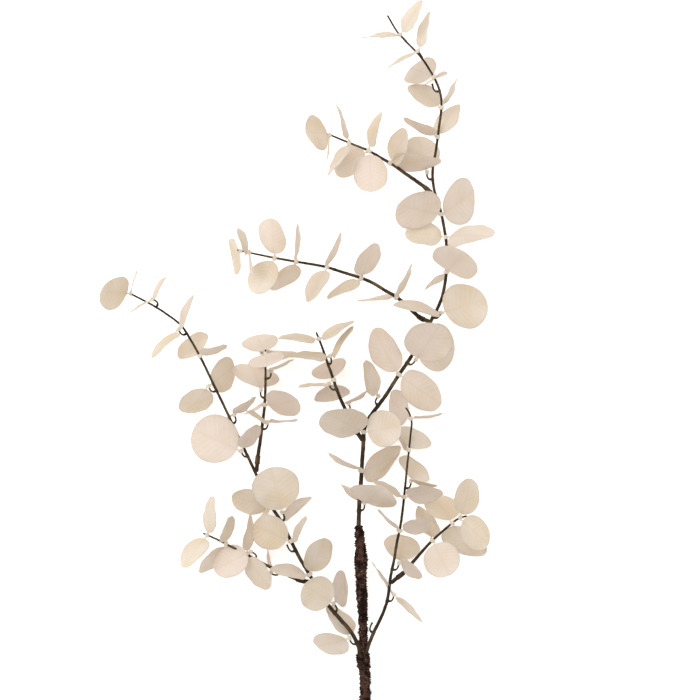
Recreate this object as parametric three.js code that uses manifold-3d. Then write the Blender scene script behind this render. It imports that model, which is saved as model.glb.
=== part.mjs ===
// A decorative eucalyptus branch, laid flat: a bark-wrapped stem that forks into a long leader and two
// limbs, thin moulded twigs with hooked prongs, and round fabric leaves threaded on in pairs.
// Units are millimetres, +Z is up and +Y runs from the cut end to the tip.

import * as THREE from 'three';
import Module from 'manifold-3d';

// Driving dimensions.
const CUT_END = -148;                 // y of the cut end; y = 0 is the lower fork
const FORK = 2;                       // y where the two bark sleeves meet
const SIMPLEST = 0.05;                // facets flatter than this are joined
const CLEARANCE = 0.4;                // gap between pieces that touch
const LOWER_SLEEVE_RADIUS = 6;
const UPPER_SLEEVE_RADIUS = 4.6;
const CROTCH_RADIUS = 3.4;
const SOCKET = { radius: 3, from: 2, length: 12 };      // thick foot of a twig that plugs into a stem
const PRONG = { radius: 1, out: 6, along: 11, ringAt: 9, bend: [[4.5, 1], [6, 4]], knob: 1.3, knobFrom: 0.9 };
const RING = { wall: 1, height: 4, sides: 5 };
const SIDES = { stem: 6, prong: 4, sleeve: 7 };
const STATION_STEPS = 400;            // points tried along a stem when a station is looked up
const SWELL = [[0.09, 2 * Math.PI], [0.06, 5.3]];       // of a bark sleeve: share of its radius, angle per knob
const PETIOLE = { length: 5, radius: 1, lift: 4, slant: 0.6 };   // lift: how far over or under its stem it ends
const BLADE_THICKNESS = 1;            // at the midrib; the blade thins to its edges
const BLADE = [[0, 0.16], [0.1, 0.62], [0.3, 0.93], [0.58, 1], [0.84, 0.73], [1, 0.18]];   // shares: length, width
const CUP = 0.08;                     // rise of the edges, as a share of the half width
const DROOP = 0.05;                   // fall of the tip, as a share of the blade's length
const TWIST = 1.1;                    // how much more a tilted leaf turns edge on towards its tip
const FLOOR_ORDER = [0.5, 0, 0.5, 1]; // heights that keep the corners of a blade apart on the surface
const LEAF_SIZES = {                  // ring to leaf tip, and width, of a leaf seen face on
  S: { length: 39, width: 30 },
  M: { length: 47, width: 42 },
  L: { length: 60, width: 55 },
};

const BARK = new THREE.MeshStandardMaterial({ color: 0x3a2622, roughness: 0.95, metalness: 0 });
const TWIG = new THREE.MeshStandardMaterial({ color: 0x3b3020, roughness: 0.6, metalness: 0 });
const LEAF = new THREE.MeshStandardMaterial({ color: 0xe6cdb4, roughness: 0.85, metalness: 0 });

// Each stem is a route of points [x, y, z] with its radius at both ends. A row of leaves says where
// on the stem it sits (station, measured on the stem's axis 'x' or 'y'), the clock angle of the prong
// that carries it (0 up, 90 left, -90 right, null for a ring on the stem itself), and its leaves.
// A leaf is [heading, reach, breadth, side, lean, size]: its heading in plan, how far it reaches
// from the ring and how broad it looks from above, side 1 over the stem or -1 under it, and lean 1 or
// -1 for the edge that is raised. What reach and breadth leave of its true size tilts it. A row marked
// 'fused' is one piece with its stem, as a single leaf is; every other row is a piece of its own. A
// plugged stem starts in a thick foot.
const STEMS = {
  leader: {
    axis: 'y', radius: [2.6, 1.1], segments: 32,
    route: [[-5, 152, 34], [-4, 181, 36], [-2, 206, 37], [0, 238, 38], [3, 267, 39], [16, 287, 40],
      [25, 299, 41], [41, 324, 42], [54, 343, 43], [68, 367, 44], [79, 388, 44], [90, 411, 44],
      [95, 434, 44], [97, 462, 44], [95, 483, 44], [89, 514, 44], [82, 537, 44], [80, 557, 44],
      [84, 583, 44], [87, 606, 43], [90, 629, 42], [90, 643, 41], [86, 658, 40], [80, 670, 40],
      [67, 690, 39], [49, 709, 38], [40, 719, 37], [28, 739, 36]],
    rows: [
      [168, -90, [[44, 27, 50, 1, 1, 'L'], [139, 33, 9, -1, 1, 'S']]],
      [214, null, [[19, 48, 34, -1, 1, 'L'], [153, 39, 7, 1, -1, 'M']]],
      [250, 0, [[153, 48, 40, 1, -1, 'L'], [11, 42, 42, 1, -1, 'M']]],
      [289, 90, [[113, 41, 19, 1, 1, 'M']]],
      [325, null, [[121, 60, 33, 1, -1, 'L'], [-37, 58, 38, 1, 1, 'L']]],
      [338, -90, [[55, 46, 53, 1, 1, 'L'], [30, 52, 52, -1, 1, 'L']]],
      [391, -90, [[16, 51, 53, 1, 1, 'L'], [170, 51, 13, 1, 1, 'L']]],
      [443, null, [[49, 26, 54, 1, 1, 'L'], [224, 30, 9, -1, -1, 'S']]],
      [474, 0, [[172, 47, 28, -1, 1, 'M'], [2, 51, 24, 1, -1, 'L']]],
      [509, null, [[171, 50, 45, 1, -1, 'L'], [35, 50, 46, -1, 1, 'L']]],
      [549, 90, [[102, 44, 38, -1, 1, 'M']]],
      [598, null, [[62, 45, 22, -1, -1, 'M'], [153, 42, 8, 1, -1, 'M']]],
      [632, null, [[140, 45, 26, -1, 1, 'M'], [59, 37, 5, 1, 1, 'S']]],
      [651, 90, []],
      [667, null, [[150, 31, 40, -1, 1, 'M'], [10, 5, 10, -1, 1, 'S']], 'fused'],
      [689, -10, [[75, 46, 11, 1, -1, 'M'], [210, 41, 6, 1, 1, 'M']]],
      [709, 0, [[57, 44, 17, 1, -1, 'M'], [185, 44, 8, 1, 1, 'M']]],
    ],
  },
  twig_a: {
    axis: 'x', radius: [2.4, 1], plugged: true, segments: 14,
    route: [[80, 531.5, 46], [77, 534.5, 47], [71, 540, 48], [60, 548, 49], [48, 556, 50], [37, 564, 50],
      [20, 574, 51], [6, 582, 52], [-6, 587, 52], [-16, 591, 52], [-26, 595, 52], [-40, 601, 52]],
    rows: [
      [31, null, [[62, 37, 24, 1, -1, 'M'], [1, 56, 17, 1, 1, 'L']]],
      [15, 0, [[272, 47, 39, 1, 1, 'M']]],
      [6, null, [[74, 46, 12, 1, -1, 'M'], [208, 45, 34, -1, 1, 'M']]],
      [-16, null, [[107, 45, 6, 1, 1, 'M'], [237, 44, 11, 1, 1, 'M']]],
      [-38, null, [[178, 26, 40, 1, 1, 'M'], [258, 23, 5, -1, 1, 'S']], 'fused'],
    ],
  },
  twig_b: {
    axis: 'x', radius: [2.4, 1], plugged: true, segments: 22,
    route: [[73, 387, 44], [66, 390, 39], [54, 401, 33], [39, 414, 31], [25, 422, 31], [12, 430, 32],
      [-2, 436, 33], [-21, 442, 33], [-44, 449, 34], [-72, 454, 35], [-101, 459, 38], [-121, 463, 42],
      [-145, 468, 46]],
    rows: [
      [39, null, [[64, 37, 6, 1, 1, 'M'], [182, 45, 6, -1, 1, 'M']]],
      [-2, null, [[70, 40, 24, 1, 1, 'M'], [211, 44, 13, 1, 1, 'M']]],
      [-33, 0, [[66, 38, 6, 1, 1, 'M'], [240, 45, 19, 1, 1, 'M']]],
      [-77, null, [[85, 42, 4, 1, 1, 'M'], [236, 41, 22, -1, -1, 'M']]],
      [-102, null, [[94, 44, 31, 1, -1, 'M'], [241, 46, 32, 1, 1, 'M']]],
      [-131, null, [[117, 24, 10, 1, 1, 'S'], [281, 18, 5, 1, 1, 'S']], 'fused'],
      [-141, null, [[216, 16, 38, -1, 1, 'M']]],
    ],
  },
  twig_c: {
    axis: 'y', radius: [2.4, 1.2], plugged: true, segments: 12,
    route: [[-4, 254, 40], [-8, 260, 41], [-15, 273, 43], [-21, 286, 45], [-28, 302, 47], [-34, 319, 49],
      [-41, 339, 50], [-48, 359, 51], [-54, 374, 52]],
    rows: [
      [281, -90, [[34, 20, 5, 1, 1, 'S']]],
      [308, 90, [[184, 33, 4, 1, 1, 'S'], [283, 23, 42, -1, -1, 'M']]],
      [319, null, [[112, 24, 42, -1, -1, 'M']]],
      [336, -60, [[51, 39, 9, 1, -1, 'M'], [179, 45, 10, 1, 1, 'M']]],
      [366, null, [[178, 45, 10, 1, 1, 'M'], [27, 43, 10, 1, -1, 'M']]],
    ],
  },
  limb_d: {
    axis: 'y', radius: [2.4, 1.1], segments: 28,
    route: [[-4, 4, 37], [-5, 11, 37], [-9.5, 21, 37], [-16, 31, 36], [-26.5, 43, 35], [-38.5, 57, 35],
      [-49, 73, 35], [-56.5, 85, 35], [-63.5, 97, 35], [-75, 117, 36], [-84, 135, 37], [-94, 155, 38],
      [-106, 174, 39], [-123, 210, 41], [-136, 238, 44], [-147, 261, 46], [-157, 283, 48],
      [-173, 316, 48], [-186, 343, 47], [-199, 366, 45], [-209, 381, 43], [-227, 395, 41],
      [-243, 405, 40], [-268, 418, 39]],
    rows: [
      [15, 90, [[117, 42, 23, -1, 1, 'M'], [200, 40, 33, -1, -1, 'M']]],
      [50, -90, [[145, 40, 42, 1, 1, 'M'], [60, 32, 28, -1, 1, 'M']]],
      [94, null, [[66, 46, 30, 1, 1, 'M'], [169, 44, 12, 1, 1, 'M']]],
      [122, 90, []],
      [133, null, [[157, 47, 40, 1, -1, 'M'], [57, 31, 9, 1, -1, 'S']]],
      [155, -90, [[103, 53, 55, 1, 1, 'L'], [14, 30, 22, -1, 1, 'M']]],
      [173, null, [[168, 47, 30, -1, -1, 'M'], [215, 14, 14, -1, 1, 'S']]],
      [231, 45, [[155, 60, 56, 1, 1, 'L'], [58, 35, 18, 1, 1, 'S']]],
      [268, -90, [[204, 25, 4, -1, 1, 'S'], [40, 30, 9, 1, 1, 'S']], 'fused'],
      [306, 90, [[38, 38, 33, -1, 1, 'M'], [230, 42, 30, -1, -1, 'M']]],
      [346, null, [[128, 27, 42, -1, -1, 'M'], [23, 31, 10, 1, 1, 'S']]],
      [372, 90, [[66, 40, 10, 1, -1, 'M'], [227, 40, 12, 1, 1, 'M']]],
      [402, -90, [[57, 25, 7, 1, -1, 'S'], [212, 22, 4, 1, 1, 'S']], 'fused'],
      [418, null, [[178, 29, 38, 1, -1, 'M'], [70, 22, 4, 1, -1, 'S']], 'fused'],
    ],
  },
  twig_d1: {
    axis: 'x', radius: [2.3, 1], plugged: true, segments: 14,
    route: [[-64, 86, 33], [-73, 87.5, 33], [-93, 96, 32], [-114, 106, 31], [-134, 117, 30],
      [-154, 127, 30], [-171, 135.5, 29], [-185, 141.5, 29]],
    rows: [
      [-96, 90, [[95, 27, 4, -1, 1, 'S']]],
      [-124, -60, [[206, 47, 34, 1, 1, 'M']]],
      [-134, null, [[83, 47, 10, 1, 1, 'M'], [303, 46, 26, 1, 1, 'M']]],
      [-158, null, [[82, 31, 14, 1, 1, 'S'], [233, 45, 20, -1, -1, 'M']]],
      [-180, null, [[80, 44, 17, 1, -1, 'M'], [233, 44, 22, 1, 1, 'M']]],
    ],
  },
  twig_d2: {
    axis: 'y', radius: [2.3, 1], plugged: true, segments: 12,
    route: [[-122, 219, 42], [-121, 229, 44], [-118, 250, 46], [-115, 273, 47], [-113, 290, 48],
      [-112, 319, 50], [-112, 354, 52]],
    rows: [
      [262, -90, [[4, 32, 4, 1, 1, 'S'], [150, 21, 4, 1, 1, 'S']], 'fused'],
      [290, null, [[7, 38, 32, 1, 1, 'M'], [197, 22, 9, -1, 1, 'S']]],
      [298, 60, [[112, 33, 46, -1, 1, 'L']]],
      [320, -90, [[27, 24, 4, 1, 1, 'S']]],
      [334, 90, [[16, 38, 16, -1, -1, 'M']]],
      [349, null, [[118, 26, 40, -1, 1, 'M'], [285, 13, 42, 1, 1, 'M']], 'fused'],
    ],
  },
  limb_e: {
    axis: 'y', radius: [2.1, 1], segments: 22,
    route: [[4, 5, 37], [7, 14, 37], [13, 29, 38], [20.5, 44, 38], [27, 61, 38], [30, 77, 38],
      [32, 93, 38], [36, 112, 39], [39, 131, 40], [43, 150, 42], [46, 172, 44], [48, 192, 44],
      [51, 221, 44], [53, 239, 44], [55, 258, 43], [56, 270, 42], [53, 281, 41], [49, 287, 40]],
    rows: [
      [27, 90, []],
      [64, -90, [[127, 43, 5, -1, -1, 'M'], [319, 45, 5, 1, -1, 'M']], 'fused'],
      [100, -90, [[78, 32, 43, -1, 1, 'M'], [338, 25, 18, 1, 1, 'S']]],
      [145, null, [[135, 33, 5, 1, -1, 'S'], [17, 37, 19, 1, 1, 'S']], 'fused'],
      [184, null, [[150, 44, 6, 1, 1, 'M'], [10, 42, 22, 1, 1, 'M']]],
      [194, -90, [[72, 24, 40, -1, 1, 'M'], [-10, 24, 6, 1, 1, 'S']]],
      [238, null, [[66, 26, 42, -1, 1, 'M'], [135, 26, 6, -1, -1, 'S']]],
      [274, null, [[138, 34, 32, -1, -1, 'M'], [8, 35, 4, 1, 1, 'S']], 'fused'],
    ],
  },
  twig_e1: {
    axis: 'x', radius: [2.3, 1], plugged: true, segments: 12,
    route: [[37, 88.5, 38], [40, 91, 38], [47, 96.5, 37], [61, 112.5, 36], [76, 129.5, 36],
      [94, 146, 36], [109, 158, 36], [120, 162, 36]],
    rows: [
      [80, null, [[105, 39, 23, -1, 1, 'M'], [296, 42, 42, 1, 1, 'M']]],
      [96, 0, [[124, 39, 33, -1, 1, 'M'], [302, 50, 40, -1, 1, 'L']]],
      [112, null, [[73, 47, 30, 1, 1, 'M'], [316, 42, 34, 1, 1, 'M']]],
    ],
  },
};

const wasm = await Module();
wasm.setup();

const radians = THREE.MathUtils.degToRad;
const UP = new THREE.Vector3(0, 0, 1);
const mix = (a, b, t) => a + (b - a) * t;

// A closed solid through a list of sections, each a ring of points that runs anticlockwise when seen
// from ahead, with flat caps at both ends. Sides are split along diagonals that take turns, so that the
// upper and lower walls of a thin twisted blade are split alike and don't cross.
function loft(sections) {
  const around = sections[0].length;
  const positions = sections.flat().flatMap((p) => [p.x, p.y, p.z]);
  const faces = [];
  for (let i = 0; i + 1 < sections.length; i += 1) {
    for (let j = 0; j < around; j += 1) {
      const next = (j + 1) % around;
      const a = i * around + j;
      const b = i * around + next;
      faces.push(...(j % 2 ? [a, b, a + around, b, b + around, a + around]
        : [a, b, b + around, a, b + around, a + around]));
    }
  }
  const last = (sections.length - 1) * around;
  for (let j = 1; j + 1 < around; j += 1) {
    faces.push(0, j + 1, j, last, last + j, last + j + 1);
  }
  return solid(new Float32Array(positions), new Uint32Array(faces));
}

function solid(vertProperties, triVerts) {
  return new wasm.Manifold(new wasm.Mesh({ numProp: 3, vertProperties, triVerts }));
}

// A ring of points of one radius around a centre, in the plane of two directions.
function circle(centre, across, over, radius, sides, turn = 0) {
  return Array.from({ length: sides }, (_, j) => {
    const angle = turn + (2 * Math.PI * j) / sides;
    return centre.clone()
      .addScaledVector(across, radius * Math.cos(angle))
      .addScaledVector(over, radius * Math.sin(angle));
  });
}

// A round bar of changing radius along a smooth curve.
function bar(curve, radiusAt, segments, sides) {
  const frames = curve.computeFrenetFrames(segments, false);
  const sections = [];
  for (let i = 0; i <= segments; i += 1) {
    const centre = curve.getPointAt(i / segments);
    sections.push(circle(centre, frames.normals[i], frames.binormals[i], radiusAt(i / segments), sides));
  }
  return loft(sections);
}

// Where a stem's route reaches a station: the point, the direction, the stem's own left and up, and
// its radius there.
function place(stem, station) {
  const share = Array.from({ length: STATION_STEPS + 1 }, (_, i) => i / STATION_STEPS).reduce((best, t) => {
    const miss = (u) => Math.abs(stem.curve.getPointAt(u)[stem.axis] - station);
    return miss(t) < miss(best) ? t : best;
  }, 0);
  const along = stem.curve.getTangentAt(share);
  const left = new THREE.Vector3().crossVectors(UP, along).normalize();
  const up = new THREE.Vector3().crossVectors(along, left).normalize();
  return { point: stem.curve.getPointAt(share), along, left, up, radius: mix(...stem.radius, share) };
}

// The thick foot of a twig that plugs into another stem.
function socket(stem) {
  const ends = [SOCKET.from, SOCKET.from + SOCKET.length];
  const points = ends.map((reach) => stem.curve.getPointAt(reach / stem.curve.getLength()));
  return bar(new THREE.LineCurve3(...points), () => SOCKET.radius, 1, SIDES.stem);
}

// A hooked prong: it leaves the stem at its clock angle, then bends to run with the stem, and ends in
// a small knob. The ring that it carries sits below the knob.
function prong(spot, clock) {
  const out = spot.up.clone().multiplyScalar(Math.cos(radians(clock)))
    .addScaledVector(spot.left, Math.sin(radians(clock)));
  const at = (away, ahead) => spot.point.clone().addScaledVector(out, away).addScaledVector(spot.along, ahead);
  const curve = new THREE.CatmullRomCurve3([
    at(0, 0), ...PRONG.bend.map((leg) => at(...leg)), at(PRONG.out, PRONG.along)]);
  const body = bar(curve, (t) => PRONG.radius * (t > PRONG.knobFrom ? PRONG.knob : 1), 4, SIDES.prong);
  const seat = { ...spot, point: at(PRONG.out, PRONG.ringAt), radius: PRONG.radius };
  return { body, seat };
}

// The small ring that is threaded on a stem or a prong.
function ring(seat, fused) {
  const inner = fused ? 0.5 * seat.radius : seat.radius + CLEARANCE;
  const outer = seat.radius + CLEARANCE + RING.wall;
  const { sides } = RING;
  const corners = [[inner, -1], [outer, 0], [inner, 1]];
  const positions = [];
  const faces = [];
  for (let i = 0; i < sides; i += 1) {
    const angle = (2 * Math.PI * i) / sides;
    for (const [radius, end] of corners) {
      const p = seat.point.clone()
        .addScaledVector(seat.left, (radius / Math.cos(Math.PI / sides)) * Math.cos(angle))
        .addScaledVector(seat.up, (radius / Math.cos(Math.PI / sides)) * Math.sin(angle))
        .addScaledVector(seat.along, end * RING.height / 2);
      positions.push(p.x, p.y, p.z);
    }
    for (let j = 0; j < corners.length; j += 1) {
      const next = (j + 1) % corners.length;
      const ahead = ((i + 1) % sides) * corners.length;
      const a = i * corners.length + j;
      const b = i * corners.length + next;
      const c = ahead + next;
      const d = ahead + j;
      faces.push(a, c, b, a, d, c);
    }
  }
  return solid(new Float32Array(positions), new Uint32Array(faces));
}

// One leaf on its petiole. The blade is a thin lens: its outline is a rounded oval, its edges curl up
// a little, and its tip droops. A leaf that is seen edge on is twisted, so that its base shows more of
// its face than its tip. Nothing reaches below the surface that the branch lies on.
function leaf(seat, [heading, reach, breadth, side, lean, size]) {
  const full = LEAF_SIZES[size];
  const rise = side * Math.acos(Math.min(reach / full.length, 1));
  const openness = Math.min(breadth / full.width, 1);
  const ahead = new THREE.Vector3(Math.cos(radians(heading)), Math.sin(radians(heading)), 0);
  const flank = new THREE.Vector3(-ahead.y, ahead.x, 0);
  const midrib = ahead.clone().multiplyScalar(Math.cos(rise)).addScaledVector(UP, Math.sin(rise));
  const crown = new THREE.Vector3().crossVectors(midrib, flank);
  const axesAt = (along) => {
    const shown = openness * (1 + TWIST * (1 - openness) ** 2 * (1 - 2 * along));
    const roll = lean * Math.acos(Math.min(shown, 1));
    const across = flank.clone().multiplyScalar(Math.cos(roll)).addScaledVector(crown, Math.sin(roll));
    return { across, normal: new THREE.Vector3().crossVectors(midrib, across) };
  };

  const wall = seat.radius + CLEARANCE + RING.wall / 2;
  const away = ahead.clone().addScaledVector(seat.along, -ahead.dot(seat.along))
    .addScaledVector(seat.up, PETIOLE.slant * side).normalize();
  const base = seat.point.clone().addScaledVector(midrib, PETIOLE.length)
    .addScaledVector(UP, side * PETIOLE.lift);
  const foot = axesAt(0);
  const stalk = [[wall, away], [wall + PETIOLE.radius, away.clone().add(midrib).normalize()]]
    .map(([reached, towards]) => {
      const turn = new THREE.Quaternion().setFromUnitVectors(midrib, towards);
      return lens(seat.point.clone().addScaledVector(away, reached), foot.across.clone().applyQuaternion(turn),
        foot.normal.clone().applyQuaternion(turn), PETIOLE.radius, PETIOLE.radius, 0);
    });

  const bladeLength = full.length - PETIOLE.length;
  const middle = axesAt(0.5);
  const blade = BLADE.map(([along, wide]) => {
    const { across, normal } = axesAt(along);
    const half = wide * full.width / 2;
    const spine = base.clone().addScaledVector(midrib, along * bladeLength)
      .addScaledVector(middle.normal, -DROOP * bladeLength * along * along);
    return lens(spine, across, normal, half, BLADE_THICKNESS * mix(0.4, 1, wide) / 2, CUP * half * openness);
  });
  const rested = blade.map((points) => points.map((p, j) => p.setZ(Math.max(p.z, FLOOR_ORDER[j]))));
  return loft([...stalk, ...rested]);
}

// The four corners of a leaf's cross-section: one edge, the underside of the midrib, the other edge
// and the upper side, with both edges raised by the curl.
function lens(centre, across, normal, half, thick, curl) {
  const corner = (side, height) => centre.clone()
    .addScaledVector(across, side).addScaledVector(normal, height);
  return [corner(-half, curl), corner(0, -thick), corner(half, curl), corner(0, thick)];
}

// The leaves of one row on their ring, as one piece.
function sprig(seat, fused, leaves) {
  return leaves.map((spec) => leaf(seat, spec)).reduce((sum, part) => sum.add(part), ring(seat, fused));
}

// Bark-wrapped stem: a round bar whose radius swells and shrinks in knobs.
function sleeve(points, radius, knobs, segments) {
  const curve = new THREE.CatmullRomCurve3(points.map((p) => new THREE.Vector3(...p)));
  const swell = (t) => SWELL.reduce((sum, [share, turn]) => sum + share * Math.sin(t * knobs * turn), 1);
  return bar(curve, (t) => radius * swell(t), segments, SIDES.sleeve);
}

function mesh(name, body, material) {
  const { vertProperties, triVerts } = body.simplify(SIMPLEST).getMesh();
  const geometry = new THREE.BufferGeometry();
  geometry.setAttribute('position', new THREE.BufferAttribute(Float32Array.from(vertProperties), 3));
  geometry.setIndex(new THREE.BufferAttribute(Uint32Array.from(triVerts), 1));
  geometry.computeVertexNormals();
  const piece = new THREE.Mesh(geometry, material);
  piece.name = name;
  return piece;
}

const branch = new THREE.Group();

for (const [name, stem] of Object.entries(STEMS)) {
  stem.curve = new THREE.CatmullRomCurve3(stem.route.map((p) => new THREE.Vector3(...p)), false, 'centripetal');
  let body = bar(stem.curve, (t) => mix(...stem.radius, t), stem.segments, SIDES.stem);
  if (stem.plugged) {
    body = body.add(socket(stem));
  }
  stem.rows.forEach(([station, clock, leaves, joined], row) => {
    let seat = place(stem, station);
    if (clock !== null) {
      const hook = prong(seat, clock);
      body = body.add(hook.body);
      seat = hook.seat;
    }
    if (joined === 'fused' || leaves.length === 1) {
      body = body.add(sprig(seat, true, leaves));
    } else if (leaves.length > 1) {
      branch.add(mesh(`leaves_${name}_${row + 1}`, sprig(seat, false, leaves), LEAF));
    }
  });
  branch.add(mesh(name, body, TWIG));
}

const crotch = [['limb_d', [-3, -14, 30]], ['limb_e', [4, -14, 31]]].map(([limb, from]) => {
  const [x, y, z] = STEMS[limb].route[0];
  const line = new THREE.LineCurve3(new THREE.Vector3(...from), new THREE.Vector3(x, y - 3 * CLEARANCE, z));
  return bar(line, () => CROTCH_RADIUS, 1, SIDES.stem);
});
const lowerSleeve = sleeve([[5, CUT_END, 6.8], [4, -100, 12], [3, -49, 20], [1, FORK, 29]],
  LOWER_SLEEVE_RADIUS, 6, 20);
branch.add(mesh('bark_sleeve_lower', crotch.reduce((sum, foot) => sum.add(foot), lowerSleeve), BARK));
branch.add(mesh('bark_sleeve_upper', sleeve(
  [[0, FORK + 1, 29], [0, 43, 30], [-2, 89, 31], [-3, 129, 33], [-5, 151, 34]], UPPER_SLEEVE_RADIUS, 5, 20), BARK));

const box = new THREE.Box3().setFromObject(branch);
const centre = box.getCenter(new THREE.Vector3());
branch.position.set(-centre.x, -centre.y, -box.min.z);

const part = new THREE.Group();
part.add(branch);

export default part;
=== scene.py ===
"""An artificial eucalyptus branch lying on a pale ground, seen from straight above.

The branch is drawn in millimetres about its lower fork, as a table of stems and rows of leaves. Every
surface is worked out as a numpy grid, laid over the CAD frame and turned to metres at the end.
"""
import math

import bpy
import numpy as np
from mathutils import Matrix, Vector


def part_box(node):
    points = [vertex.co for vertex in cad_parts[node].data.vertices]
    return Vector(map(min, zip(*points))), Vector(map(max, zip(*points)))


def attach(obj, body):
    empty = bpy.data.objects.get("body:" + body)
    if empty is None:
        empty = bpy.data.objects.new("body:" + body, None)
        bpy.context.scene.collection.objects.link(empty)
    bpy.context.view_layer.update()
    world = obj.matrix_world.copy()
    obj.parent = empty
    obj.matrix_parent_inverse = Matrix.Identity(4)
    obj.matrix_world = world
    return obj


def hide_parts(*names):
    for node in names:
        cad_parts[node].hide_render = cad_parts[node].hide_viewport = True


# ---------------------------------------------------------------- driving dimensions, millimetres
MM = 0.001
CUT_END = -148.0           # y of the cut end; y = 0 is the lower fork
FORK = 2.0                 # y where the two bark sleeves meet
CROTCH_GAP = 1.2           # from the crotch's end to the foot of a limb
# Radii of the bark sleeves at shares of their length, with a knob wherever one is high.
LOWER_SLEEVE = ((0.0, 5.6), (0.35, 6.0), (0.6, 5.4), (0.8, 5.9), (1.0, 5.6))
UPPER_SLEEVE = ((0.0, 4.7), (0.28, 4.6), (0.38, 5.4), (0.47, 6.2), (0.58, 5.4), (0.66, 6.3), (0.73, 7.4),
                (0.82, 5.3), (0.9, 5.0), (1.0, 4.4))
CROTCH = ((0.0, 3.4), (1.0, 3.4))
SOCKET_RADIUS = 3.0
SOCKET_FROM = 2.0
SOCKET_LENGTH = 12.0
PRONG_RADIUS = 1.0
PRONG_OUT = 6.0
PRONG_ALONG = 11.0
PRONG_RING_AT = 9.0
RING_WALL = 0.9
RING_HEIGHT = 4.6
PETIOLE_LENGTH = 5.0
PETIOLE_LIFT = 4.0         # how far over or under its stem a petiole ends
PETIOLE_SLANT = 0.6
BLADE_THICKNESS = 0.5
CUP = 0.08                 # rise of the edges, as a share of the half width
DROOP = 0.05               # fall of the tip, as a share of the blade's length
TWIST = 1.1                # how much more a tilted leaf turns edge on towards its tip
EDGE_WOBBLE = 0.018        # unevenness of a blade's outline, as a share of its width
RIB_HEIGHT = 0.35
RIB_WIDTH = 0.8
VEIN_HEIGHT = 0.10
SIDE_VEINS = 9.0           # side veins along a blade
VEIN_SWEEP = 2.2           # how far they slope forward, counted in veins
SUNK = 7.0                 # how far a stem's foot reaches back into what holds it
RESTING = 0.4              # least height of a blade's middle over the ground
LEAF_SIZES = {"S": (39.0, 30.0), "M": (47.0, 42.0), "L": (60.0, 55.0)}   # ring to tip, width

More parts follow.
